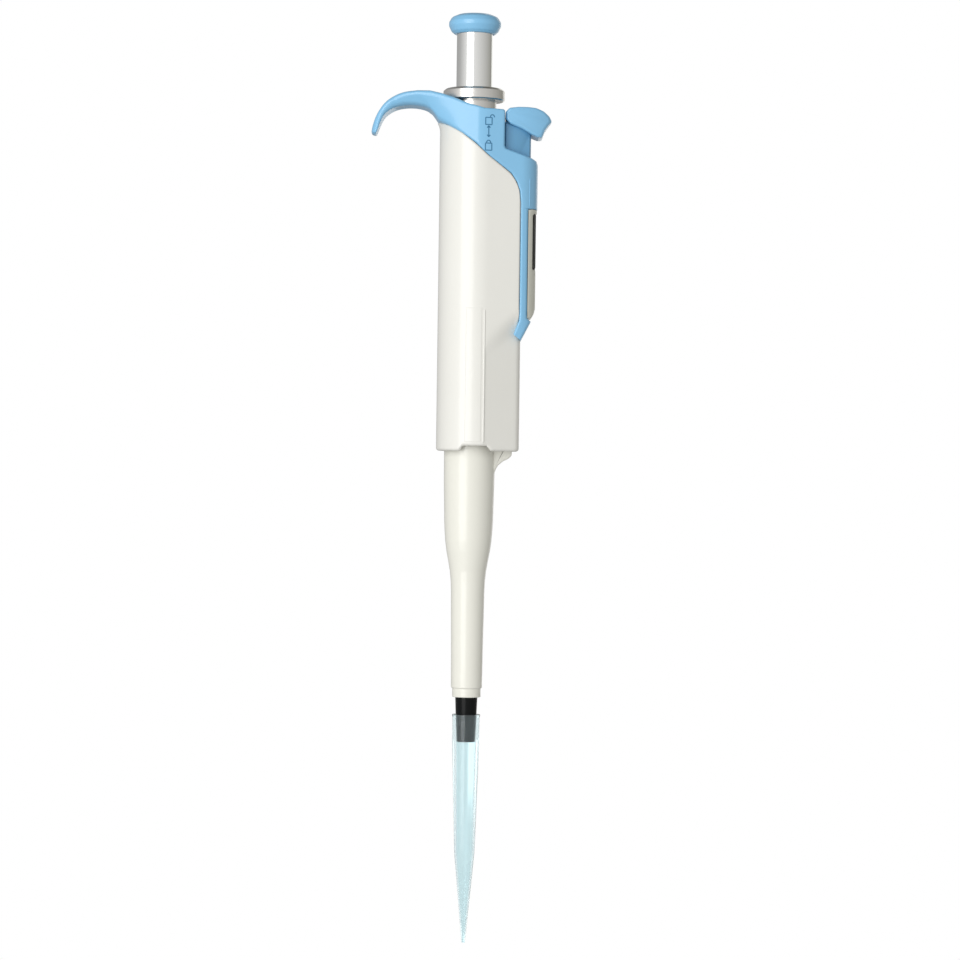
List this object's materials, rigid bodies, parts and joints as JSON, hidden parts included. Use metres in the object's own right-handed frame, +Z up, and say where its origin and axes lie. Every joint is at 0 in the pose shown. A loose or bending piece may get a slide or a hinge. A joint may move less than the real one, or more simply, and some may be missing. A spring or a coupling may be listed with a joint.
{
  "type": "single-channel pipette",
  "caption": "Adjustable air-displacement pipette with push button, lock ring, number counter, finger hook, tip ejector and fitted tip.",
  "frame": {"origin": "centre of the fitted tip's orifice, on the plunger's main axis", "axes": "+Z up along the main axis to the push button, +X to the display and ejector side, hook at -X"},
  "size_m": [0.0568, 0.0241, 0.2927],
  "materials": {
    "ivory_plastic": "glossy moulded",
    "blue_plastic": "satin moulded",
    "grey_plastic": "satin moulded",
    "lens": "clear, dark tint",
    "inner_plastic": "moulded",
    "wheel_plastic": "moulded",
    "dark_plastic": "moulded",
    "black_plastic": "satin black",
    "seal_rubber": "matte",
    "satin_metal": "turned, satin",
    "chrome": "polished",
    "steel": "ground",
    "brass": "turned",
    "tip_plastic": "clear polypropylene, pale blue tint"
  },
  "bodies": {
    "housing": {"handle": "ivory_plastic", "cover": "blue_plastic", "label_plate": "ivory_plastic", "neck_bush": "satin_metal", "window_frame": "grey_plastic", "window_lens": "lens", "chassis": "inner_plastic", "setting_nut": "brass", "counter_frame": "inner_plastic", "counter_axle": "steel", "pinion_axle": "steel", "bulkhead": "dark_plastic", "coupling_nut": "steel", "shaft": "black_plastic", "piston_seal": "inner_plastic", "seal_o_ring": "seal_rubber", "seal_retainer": "inner_plastic", "return_spring": "steel", "blowout_spring": "steel", "ejector_spring": "steel"},
    "plunger": {"piston": "inner_plastic", "piston_rod": "steel", "piston_cap": "inner_plastic", "thrust_ball": "steel"},
    "push_button": {"button_cap": "blue_plastic", "plunger_tube": "chrome", "plunger_rod": "steel", "rod_collar": "brass"},
    "setting": {"drive_gear": "inner_plastic", "setting_screw": "steel"},
    "wheel_1": {"counter_gear": "inner_plastic", "number_wheel_1": "wheel_plastic"},
    "wheel_2": {"number_wheel_2": "wheel_plastic"},
    "wheel_3": {"number_wheel_3": "wheel_plastic"},
    "wheel_4": {"number_wheel_4": "wheel_plastic"},
    "pinion_1": {"carry_pinion_1": "dark_plastic"},
    "pinion_2": {"carry_pinion_2": "dark_plastic"},
    "pinion_3": {"carry_pinion_3": "dark_plastic"},
    "blowout": {"blowout_washer": "steel"},
    "lock": {"lock_ring": "satin_metal"},
    "ejector": {"ejector_button": "blue_plastic", "ejector_stem": "blue_plastic", "ejector_bar": "inner_plastic", "ejector_rod": "steel", "ejector_collar": "dark_plastic", "ejector_sleeve": "ivory_plastic"},
    "tip": {"tip": "tip_plastic"}
  },
  "joints": [
    {"name": "plunger_press", "type": "slide", "parent": "housing", "child": "plunger", "axis": [0, 0, -1], "range_m": [0, 0.0166], "stiffness_N_per_m": 350, "springref_m": -0.012, "deforming": ["return_spring"]},
    {"name": "volume_dial", "type": "hinge", "parent": "plunger", "child": "push_button", "pos_m": [0, 0, 0.29], "axis": [0, 0, 1], "range_deg": [-1800, 2250]},
    {"name": "setting_turn", "type": "hinge", "parent": "housing", "child": "setting", "pos_m": [0, 0, 0.22], "axis": [0, 0, 1], "range_deg": [-1881, 2331]},
    {"name": "blowout_press", "type": "slide", "parent": "housing", "child": "blowout", "axis": [0, 0, -1], "range_m": [0, 0.0029], "deforming": ["blowout_spring"]},
    {"name": "lock_slide", "type": "slide", "parent": "housing", "child": "lock", "axis": [0, 0, -1], "range_m": [0, 0.002]},
    {"name": "ejector_press", "type": "slide", "parent": "housing", "child": "ejector", "axis": [0, 0, -1], "range_m": [0, 0.0054], "stiffness_N_per_m": 400, "springref_m": -0.01, "deforming": ["ejector_spring"]},
    {"name": "tip_pull_off", "type": "slide", "parent": "housing", "child": "tip", "axis": [0, 0, -1], "range_m": [0, 0.012]},
    {"name": "wheel_1_turn", "type": "hinge", "parent": "housing", "child": "wheel_1", "pos_m": [0.013, 0, 0.215], "axis": [0, 0, 1], "range_deg": [-3729.6, 3009.6]},
    {"name": "wheel_2_turn", "type": "hinge", "parent": "housing", "child": "wheel_2", "pos_m": [0.013, 0, 0.215], "axis": [0, 0, 1], "range_deg": [-1864.8, 1504.8]},
    {"name": "wheel_3_turn", "type": "hinge", "parent": "housing", "child": "wheel_3", "pos_m": [0.013, 0, 0.215], "axis": [0, 0, 1], "range_deg": [-186.48, 150.48]},
    {"name": "wheel_4_turn", "type": "hinge", "parent": "housing", "child": "wheel_4", "pos_m": [0.013, 0, 0.215], "axis": [0, 0, 1], "range_deg": [-18.65, 15.05]},
    {"name": "pinion_1_turn", "type": "hinge", "parent": "housing", "child": "pinion_1", "pos_m": [0.00779, 0.00437, 0.215], "axis": [0, 0, 1], "range_deg": [-3762, 4662]},
    {"name": "pinion_2_turn", "type": "hinge", "parent": "housing", "child": "pinion_2", "pos_m": [0.00779, 0.00437, 0.215], "axis": [0, 0, 1], "range_deg": [-376.2, 466.2]},
    {"name": "pinion_3_turn", "type": "hinge", "parent": "housing", "child": "pinion_3", "pos_m": [0.00779, 0.00437, 0.215], "axis": [0, 0, 1], "range_deg": [-37.62, 46.62]}
  ],
  "couplings": [
    {"joint": "setting_turn", "follows": "volume_dial", "ratio": 1},
    {"joint": "blowout_press", "follows": "plunger_press", "ratio": 0.16867},
    {"joint": "wheel_1_turn", "follows": "volume_dial", "ratio": -1.6},
    {"joint": "wheel_2_turn", "follows": "volume_dial", "ratio": -0.8},
    {"joint": "wheel_3_turn", "follows": "volume_dial", "ratio": -0.08},
    {"joint": "wheel_4_turn", "follows": "volume_dial", "ratio": -0.008},
    {"joint": "pinion_1_turn", "follows": "volume_dial", "ratio": 2},
    {"joint": "pinion_2_turn", "follows": "volume_dial", "ratio": 0.2},
    {"joint": "pinion_3_turn", "follows": "volume_dial", "ratio": 0.02}
  ]
}
